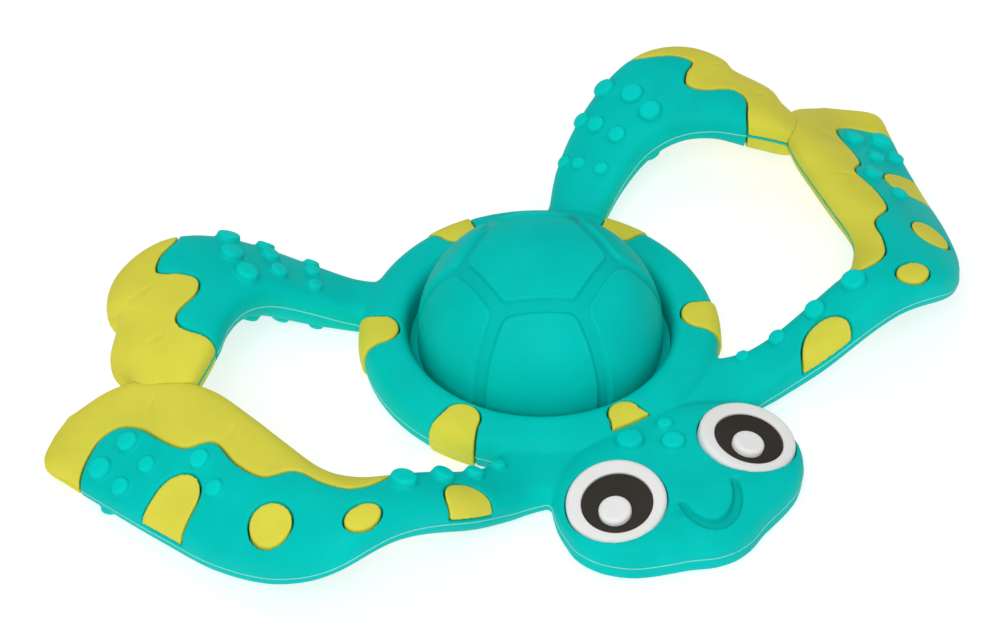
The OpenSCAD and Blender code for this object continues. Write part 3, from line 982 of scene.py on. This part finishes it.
class TEETHER_OT_moulding(bpy.types.Operator):
    """Models the teal frame: ring, head and flippers in one skin, with pockets, bumps and smile"""

    bl_idname = "teether.moulding"
    bl_label = "Teal moulding"

    def execute(self, context):
        front = flipper_blank("blank_front", FRONT, 0, len(FRONT["tail"]) - 1)
        rear = flipper_blank("blank_rear", REAR, 0, len(REAR["tail"]) - 1)
        roots = [flipper_blank("root", FRONT, 0, FRONT_ROOT),
                 flipper_blank("root", REAR, 0, REAR_ROOT)]
        roots += [mirrored(root, "root") for root in roots]
        base = joined("base", [ring_blank("ring"), head_blank()] + roots)
        soften(base, *BASE_SKIN)
        self.smooth_weld(base)

        marks = []
        bumps = bumps_on(front, flipper_bump_places(FRONT, FRONT_BUMPS), marks)
        bumps += bumps_on(rear, flipper_bump_places(REAR, REAR_BUMPS), marks)
        under = [(skin(FRONT, s, u, -bulge(u, UNDER_POWER)), radius)
                 for s, u, radius in FRONT_UNDER_BUMPS]
        bumps += bumps_on(front, under, marks)
        bumps += [mirrored(bump, "bump") for bump in bumps]
        marks += [(MIRROR @ spot, MIRROR.to_3x3() @ normal, radius)
                  for spot, normal, radius in marks]
        head_places = [((x, y, MID_Z + size("head_top")), radius) for x, y, radius in HEAD_BUMPS]
        bumps += bumps_on(base, head_places, marks)

        front_teal, rear_teal = copied(front, "front_teal"), copied(rear, "rear_teal")
        cut(front_teal, prism("pocket", band_outline()))
        cut(rear_teal, prism("pocket", cuff_outline()))
        for outline in spot_outlines().values():
            spot_pocket(front_teal, outline)
        for side in (LEFT, RIGHT):
            spot_pocket(base, spot_outlines()["neck"], side)
        bodies = [base, front_teal, rear_teal]
        bodies += [mirrored(front_teal, "front_teal"), mirrored(rear_teal, "rear_teal")]

        tools = []
        for angle in EDGE_TABS.values():
            tools.append(cut(prism("tab", tab_outline(angle)), tab_core()))
        tools.append(prism("tab", neck_tab_outline(), low=MID_Z + CORE_HALF))
        for side in (LEFT, RIGHT):
            tool = cylinder("eye_pocket", size("eye_width") / 2 + EYE_GAP, low=-EYE_DEPTH, high=20)
            tool.data.transform(eye_frame(side))
            tools.append(tool)
        for body in bodies:
            for tool in tools:
                cut(body, tool, keep_tool=True)
        for tool in tools:
            bpy.data.objects.remove(tool)

        moulding = joined("moulding", bodies + [ledge_blank()] + bumps)
        soften(moulding, *MOULDING_SKIN)
        for vert, share in smile_shares(moulding):
            vert.co.z -= SMILE_DEPTH * share * MM
        for vert in moulding.data.vertices:
            vert.co.z = max(0, vert.co.z)
        thin(moulding, MOULDING_TRIANGLES)
        # Painted highlight on the bumps and painted shade in the smile.
        mark_painted_light(moulding, marks)
        place_piece(moulding, "moulding", teal(), ["frame"])
        self.cores(front, rear)
        return {"FINISHED"}

    def smooth_weld(self, base):
        """Smooths the skin where the flippers grow out of the ring."""
        weld = base.vertex_groups.new(name="weld")
        for vert in base.data.vertices:
            radius = math.hypot(vert.co.x, vert.co.y - BODY_Y * MM) / MM
            share = unit(min((radius - WELD_RADII[0]) / WELD_FADES[0],
                             (WELD_RADII[1] - radius) / WELD_FADES[1]))
            if vert.co.y / MM - BODY_Y < NECK_Y and abs(vert.co.x / MM) < NECK_HALF:
                share *= NECK_SHARE
            weld.add([vert.index], share, "REPLACE")
        apply_modifier(base, "SMOOTH", factor=0.5, iterations=WELD_ROUNDS, vertex_group=weld.name)

    def cores(self, front, rear):
        """Thin teal sheets that run on between the two faces of the bands and cuffs."""
        for name, blank, outline, sheet in (("band", front, band_outline(), band_core()),
                                            ("cuff", rear, cuff_outline(), cuff_core())):
            piece = copied(blank, name)
            cut(piece, prism("area", inset(outline, -SHEET_LAP)), "INTERSECT")
            cut(piece, sheet, "INTERSECT")
            if name == "cuff":
                cut(piece, front, keep_tool=True)
            tidy_shell(piece, SHEET_MERGE)
            for side, part in (("left", piece), ("right", mirrored(piece, name))):
                place_piece(part, f"core_{name}_{side}", teal(), [])
                bpy.ops.object.shade_smooth_by_angle(angle=SHARP)


class TEETHER_OT_inlays(bpy.types.Operator):
    """Models the yellow bands, cuffs, spots and tabs that sit in the pockets of the moulding"""

    bl_idname = "teether.inlays"
    bl_label = "Yellow inlays"

    def execute(self, context):
        front, rear = bpy.data.objects["blank_front"], bpy.data.objects["blank_rear"]
        gap = size("inlay_gap")
        left = {}
        for face, word in ((ABOVE, "top"), (UNDER, "under")):
            band = inlay("band", front, band_outline(), face, gap, SHEET_GAP)
            left[f"fin_band_{word}"] = cut(band, band_core(SHEET_GAP))
            cuff = inlay("cuff", rear, cuff_outline(), face, gap, SHEET_GAP)
            cut(cuff, cuff_core(SHEET_GAP))
            left[f"cuff_{word}"] = cut(cuff, front, keep_tool=True)
        for name, outline in spot_outlines().items():
            left[f"spot_{name}"] = inlay("spot", front, outline, ABOVE, gap, CORE_HALF + gap)
        for name, piece in left.items():
            soften(piece, *INLAY_SKIN)
            press_creases(piece, CREASES.get(name, []))
            thin(piece, INLAY_TRIANGLES)
            for side, part in (("left", piece), ("right", mirrored(piece, name))):
                node = f"{name}_{side}"
                place_piece(part, f"yellow_{node}", yellow(), [node])

        ring = ring_blank("ring", proud=TAB_PROUD)
        for name, angle in EDGE_TABS.items():
            tab = copied(ring, "tab")
            cut(tab, prism("area", inset(tab_outline(angle), gap)), "INTERSECT")
            cut(tab, tab_core(gap))
            soften(tab, *INLAY_SKIN)
            place_piece(tab, f"yellow_tab_{name}", yellow(), [f"tab_{name}"])
        tab = ring_blank("tab")
        area = prism("area", inset(neck_tab_outline(), gap), low=MID_Z + CORE_HALF + gap)
        soften(cut(tab, area, "INTERSECT"), *INLAY_SKIN)
        place_piece(tab, "yellow_tab_neck", yellow(), ["tab_neck"])
        for spare in (ring, front, rear):
            bpy.data.objects.remove(spare)
        return {"FINISHED"}


class TEETHER_OT_dome(bpy.types.Operator):
    """Models the press dome: a thin shell with soft grooves round a hexagon and six petals"""

    bl_idname = "teether.dome"
    bl_label = "Press dome"

    def execute(self, context):
        foot = MID_Z - DOME_SUNK
        shoulder = foot + size("dome_skirt")
        profile = []
        for inward, spread in ((0, [k / 2 for k in range(181)]),
                               (size("dome_wall"), range(90, -1, -6))):
            radius, height = size("dome_radius") - inward, size("dome_height") - inward
            vault = [(radius * rounded(math.cos(math.radians(a)), DOME_POWER),
                      shoulder + height * rounded(math.sin(math.radians(a)), DOME_POWER))
                     for a in spread]
            skirt = [(radius, foot + (shoulder - foot) * k / 6) for k in range(6)]
            profile += vault + skirt[::-1] if inward else skirt + vault
        profile = [(max(0, r), z) for r, z in profile]
        dome = spun("dome", profile, closed=True, steps=420)
        self.press_grooves(dome)
        thin(dome, DOME_TRIANGLES)
        place_piece(dome, "press_dome", teal(), ["pop_dome"], "dome")
        crown = at_body((0, 0, shoulder + size("dome_height")))
        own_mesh(dome)
        return {"FINISHED"}

    def press_grooves(self, dome):
        """Moves the outer skin inwards along a hexagon and six lines from its corners, and paints
        shade there.
        """
        hexagon, half, deep = size("hexagon"), size("groove_width") / 2, size("groove_depth")
        flat = hexagon * math.cos(math.pi / 6)
        sides = [Vector((math.cos(math.pi / 3 * k), math.sin(math.pi / 3 * k))) for k in range(6)]
        middle = at_body((0, 0, MID_Z))
        normals = [vert.normal.copy() for vert in dome.data.vertices]
        painted_light_and_shade = dome.data.attributes.new("painted_light_and_shade", "FLOAT", "POINT").data
        for vert, normal in zip(dome.data.vertices, normals):
            place = Vector((vert.co.x / MM, vert.co.y / MM - BODY_Y)) - Vector(HEXAGON_SHIFT)
            if normal.dot(vert.co - middle) <= 0 or vert.co.z / MM < GROOVE_LOWEST:
                continue
            # A high power mean of the six side distances rounds the corners of the hexagon.
            reaches = [max(0, place.dot(side)) ** CORNER_POWER for side in sides]
            out = sum(reaches) ** (1 / CORNER_POWER)
            off_hexagon = abs(out - flat)
            angle = math.atan2(place.y, place.x) % (math.pi / 3) - math.pi / 6
            off_line = abs(place.length * math.sin(angle)) if out > flat else FAR
            near = max(0, GROOVE_BLEND - abs(off_hexagon - off_line))
            off = min(off_hexagon, off_line) - near * near / (4 * GROOVE_BLEND)
            share = eased(unit((half + GROOVE_SPILL - off) / GROOVE_EDGE))
            rim = RIM_RISE * math.exp(-((off - half - RIM_PLACE) / RIM_WIDTH) ** 2)
            vert.co += normal * MM * (rim - deep * share)
            # Painted shade in the groove.
            painted_light_and_shade[vert.index].value = -GROOVE_SHADE * share


class TEETHER_OT_eyes(bpy.types.Operator):
    """Models the eyes: white discs with a highlight post, and black irises inlaid round the post"""

    bl_idname = "teether.eyes"
    bl_label = "Eyes"

    def execute(self, context):
        colours = context.scene.teether_colours
        white = moulded_silicone("white_silicone_moulded", colours.white, rough=0.5, mottle=0.02)
        black = moulded_silicone("black_silicone_moulded", colours.black, rough=0.5, mottle=0.12)
        eye_r, iris_r, post_r = [size(f"{part}_width") / 2 for part in ("eye", "iris", "post")]
        rim = arc((eye_r - EYE_ROUND, -EYE_ROUND), EYE_ROUND, range(0, 91, 10))
        disc = spun("eye", [(0, -EYE_DEPTH), (eye_r, -EYE_DEPTH)] + rim + [(0, 0)])
        flare_r = iris_r + RECESS_FLARE
        flare = arc((flare_r, -RECESS_FLARE), RECESS_FLARE, range(180, 89, -15))
        recess = spun("recess", [(0, -RECESS_DEPTH), (iris_r, -RECESS_DEPTH)] + flare
                      + [(flare_r, 3), (0, 3)])
        cut(disc, shifted(recess, IRIS_SHIFT))
        crown = arc((post_r - POST_ROUND, POST_TOP - POST_ROUND), POST_ROUND, range(0, 91, 10))
        post = spun("post", [(0, POST_FOOT), (post_r, POST_FOOT)] + crown + [(0, POST_TOP)],
                    steps=64)
        cut(disc, shifted(post, POST_SHIFT), "UNION")
        edge_r = iris_r - IRIS_GAP
        edge = arc((edge_r - IRIS_ROUND, IRIS_TOP - IRIS_ROUND), IRIS_ROUND, range(0, 91, 15))
        iris = spun("iris", [(0, IRIS_FOOT), (edge_r, IRIS_FOOT)] + edge + [(0, IRIS_TOP)])
        hole = cylinder("hole", post_r + POST_GAP, low=-4, high=4, steps=64)
        cut(shifted(iris, IRIS_SHIFT), shifted(hole, POST_SHIFT))
        for side, word in ((LEFT, "left"), (RIGHT, "right")):
            for part, name, material, slot in ((disc, "white", white, "white_silicone"),
                                               (iris, "iris", black, "black_silicone")):
                node = f"eye_{name}_{word}"
                piece = copied(part, node, eye_frame(side))
                place_piece(piece, f"eye_disc_{name}_{word}", material, [node])
                bpy.ops.object.shade_smooth_by_angle(angle=SHARP)
        for part in (disc, iris):
            bpy.data.objects.remove(part)
        return {"FINISHED"}


class TEETHER_OT_flash(bpy.types.Operator):
    """Models the thin pale flash that the mould leaves along the parting line"""

    bl_idname = "teether.flash"
    bl_label = "Parting flash"

    def execute(self, context):
        colours = context.scene.teether_colours
        lines = []
        for flipper in (FRONT, REAR):
            last = len(flipper["tail"]) - 1
            for u in (-1, 1):
                line = [skin(flipper, last * k / FLASH_POINTS, u, 0)
                        for k in range(FLASH_POINTS + 1)]
                lines += [line, [(-x, y, z) for x, y, z in line]]
        lines += [self.ring_line(0), [(x, y, MID_Z) for x, y in head_outline()]]
        runs = self.runs_on(bpy.data.objects["moulding"], lines)
        pale = moulded_silicone("teal_silicone_flash", colours.flash, rough=0.38)
        self.trim("parting_flash", runs, pale, "teal_silicone")
        runs = []
        for name in EDGE_TABS:
            tab = bpy.data.objects[f"yellow_tab_{name}"]
            runs += self.runs_on(tab, [self.ring_line(TAB_PROUD)])
        pale = moulded_silicone("yellow_silicone_flash", colours.tab_flash, rough=0.38)
        self.trim("tab_flash", runs, pale, "yellow_silicone")
        return {"FINISHED"}

    def ring_line(self, proud):
        """Closed line round the outer edge of the ring."""
        outer = size("bore_radius") + size("ring_width") + proud
        angles = [2 * math.pi * k / RING_POINTS for k in range(RING_POINTS + 1)]
        return [(outer * math.cos(a), outer * math.sin(a), MID_Z) for a in angles]

    def runs_on(self, obj, lines):
        """Stretches of the lines that lie on the skin of a piece."""
        surface = surface_of(obj)
        runs = []
        for line in lines:
            run = []
            for point in line:
                spot, _, _, away = surface.find_nearest(at_body(point))
                if away < FLASH_REACH * MM:
                    run.append(spot)
                    continue
                runs.append(run)
                run = []
            runs.append(run)
        return [run for run in runs if len(run) >= FLASH_SHORTEST]

    def trim(self, name, runs, material, slot):
        """Thin rounded strip along the stretches."""
        shape = bpy.data.curves.new(name, "CURVE")
        shape.dimensions = "3D"
        shape.bevel_depth = size("flash_width") / 2 * MM
        shape.bevel_resolution = 1
        shape.use_fill_caps = True
        for run in runs:
            spline = shape.splines.new("POLY")
            spline.points.add(len(run) - 1)
            for point, spot in zip(spline.points, run):
                point.co = (*spot, 1)
        strip = bpy.data.objects.new(name, shape)
        bpy.context.scene.collection.objects.link(strip)
        pick(strip)
        bpy.ops.object.convert(target="MESH")
        place_piece(bpy.context.active_object, name, material, [])


class TEETHER_OT_hinge_web(bpy.types.Operator):
    """Gives the hinge web of the CAD frame its silicone"""

    bl_idname = "teether.hinge_web"
    bl_label = "Hinge web"

    def execute(self, context):
        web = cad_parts["hinge_web"]
        web.data.materials.clear()
        web.data.materials.append(teal())
        return {"FINISHED"}


class TEETHER_OT_stage(bpy.types.Operator):
    """Sets the pale floor, the soft lights and the camera at the photographed angle"""

    bl_idname = "teether.stage"
    bl_label = "Stage"

    def execute(self, context):
        deselect()
        bpy.ops.mesh.primitive_plane_add(size=FLOOR_SIZE)
        floor = context.active_object
        floor.name = "floor"
        bpy.ops.object.mode_set(mode="EDIT")
        bpy.ops.mesh.subdivide(number_cuts=4)
        bpy.ops.object.mode_set(mode="OBJECT")
        floor.data.materials.append(self.light_table())
        world = bpy.data.worlds.new("studio")
        context.scene.world = world
        world.use_nodes = True
        sky = world.node_tree.nodes["Background"]
        sky.inputs["Color"].default_value = (1, 1, 1, 1)
        sky.inputs["Strength"].default_value = SKY_STRENGTH
        for name, place, width, power in LIGHTS:
            bpy.ops.object.light_add(type="AREA", location=place)
            light = context.active_object
            light.name = name
            light.data.shape = "DISK"
            light.data.size = width
            light.data.energy = power
            light.rotation_euler = (-Vector(place)).to_track_quat("-Z", "Y").to_euler()
        lens = bpy.data.cameras.new("camera")
        lens.lens = CAMERA_LENS
        lens.sensor_width = CAMERA_SENSOR
        camera = bpy.data.objects.new("camera", lens)
        back = CAMERA_RIGHT.cross(CAMERA_UP)
        turn = Matrix((CAMERA_RIGHT, CAMERA_UP, back)).transposed().to_4x4()
        camera.matrix_world = Matrix.Translation(CAMERA_PLACE * MM) @ turn
        context.scene.collection.objects.link(camera)
        context.scene.camera = camera
        context.scene.view_settings.view_transform = "Standard"
        return {"FINISHED"}

    def light_table(self):
        """Opal acrylic sheet of a light table: even white ground whose glow lifts the shadows."""
        material = bpy.data.materials.new("opal_acrylic_sheet")
        material.use_nodes = True
        tree = material.node_tree
        shader = tree.nodes["Principled BSDF"]
        place = add_node(tree, "ShaderNodeTexCoord", {}, {}).outputs["Object"]
        cloud = add_node(tree, "ShaderNodeTexNoise", {"Scale": 1 / (40 * MM)}, {"Vector": place})
        tint = add_node(tree, "ShaderNodeValToRGB", {}, {"Fac": cloud.outputs["Fac"]})
        tint.color_ramp.elements[0].color = linear("#B4B4B4")
        tint.color_ramp.elements[1].color = linear("#B8B8B8")
        tree.links.new(tint.outputs["Color"], shader.inputs["Base Color"])
        shader.inputs["Emission Color"].default_value = (1, 1, 1, 1)
        shader.inputs["Emission Strength"].default_value = 0.66
        shader.inputs["Roughness"].default_value = 0.9
        shader.inputs["Specular IOR Level"].default_value = 0.1
        return material


OPERATORS = (TEETHER_OT_moulding, TEETHER_OT_inlays, TEETHER_OT_dome, TEETHER_OT_eyes,
             TEETHER_OT_flash, TEETHER_OT_hinge_web, TEETHER_OT_stage)


class TEETHER_PT_panel(bpy.types.Panel):
    """Lists the steps that build the teether and its sizes and colours"""

    bl_idname = "TEETHER_PT_panel"
    bl_label = "Teether"
    bl_space_type = "VIEW_3D"
    bl_region_type = "UI"
    bl_category = "Teether"

    def draw(self, context):
        for step in OPERATORS:
            self.layout.operator(step.bl_idname)
        for group in (context.scene.teether_sizes, context.scene.teether_colours):
            for name in group.bl_rna.properties.keys():
                if name not in ("rna_type", "name"):
                    self.layout.prop(group, name)


CLASSES = (TeetherSizes, TeetherColours) + OPERATORS + (TEETHER_PT_panel,)


def register():
    for item in CLASSES:
        bpy.utils.register_class(item)
    bpy.types.Scene.teether_sizes = bpy.props.PointerProperty(type=TeetherSizes)
    bpy.types.Scene.teether_colours = bpy.props.PointerProperty(type=TeetherColours)


def unregister():
    del bpy.types.Scene.teether_colours
    del bpy.types.Scene.teether_sizes
    for item in reversed(CLASSES):
        bpy.utils.unregister_class(item)


def main():
    register()
    bpy.ops.teether.moulding()
    bpy.ops.teether.inlays()
    bpy.ops.teether.dome()
    bpy.ops.teether.eyes()
    bpy.ops.teether.flash()
    bpy.ops.teether.hinge_web()
    bpy.ops.teether.stage()


if __name__ == "__main__":
    main()
